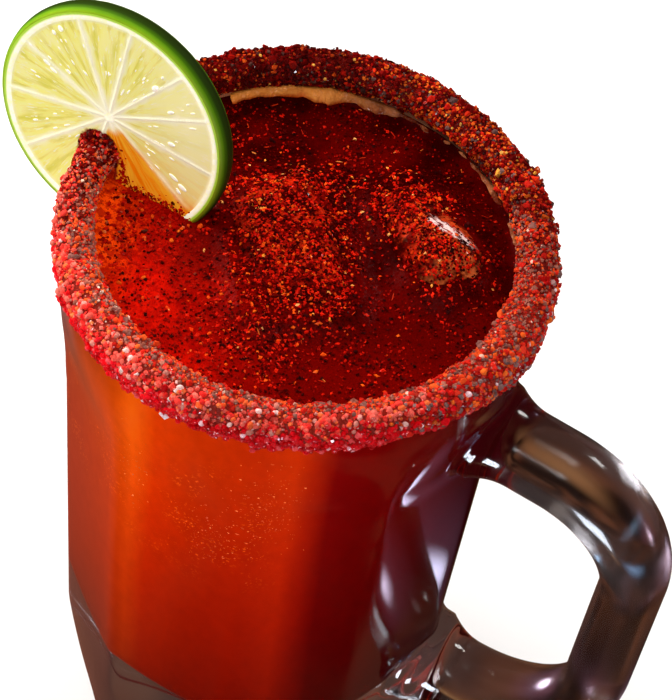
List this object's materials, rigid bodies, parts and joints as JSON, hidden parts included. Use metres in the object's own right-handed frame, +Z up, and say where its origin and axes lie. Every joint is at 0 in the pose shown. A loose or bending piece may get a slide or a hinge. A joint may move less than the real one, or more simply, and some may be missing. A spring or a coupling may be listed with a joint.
{
  "type": "michelada in a glass mug",
  "caption": "Tall red iced drink in a thick faceted glass mug with a handle, a chilli-crusted rim and a lime slice slotted over it.",
  "frame": {"origin": "centre of the mug's flat underside", "axes": "+Z up the mug's axis, +X along the handle, so the lime slice stands at -X"},
  "size_m": [0.1537, 0.0998, 0.1869],
  "materials": {
    "clear_glass": "clear pressed glass, glossy",
    "red_drink": "wet, cloudy red beer and tomato drink with chilli powder",
    "sauced_ice": "wet ice coated in red sauce and chilli flakes",
    "tan_foam": "collapsed beer foam",
    "rim_seasoning": "damp coarse chilli and salt grains",
    "lime": "juicy cut lime with a waxy green peel"
  },
  "bodies": {
    "root": {"mug": "clear_glass", "drink": "red_drink", "ice_left": "sauced_ice", "ice_right": "sauced_ice", "foam_collar": "tan_foam", "rim_crust": "rim_seasoning", "lime_slice": "lime"}
  },
  "joints": []
}
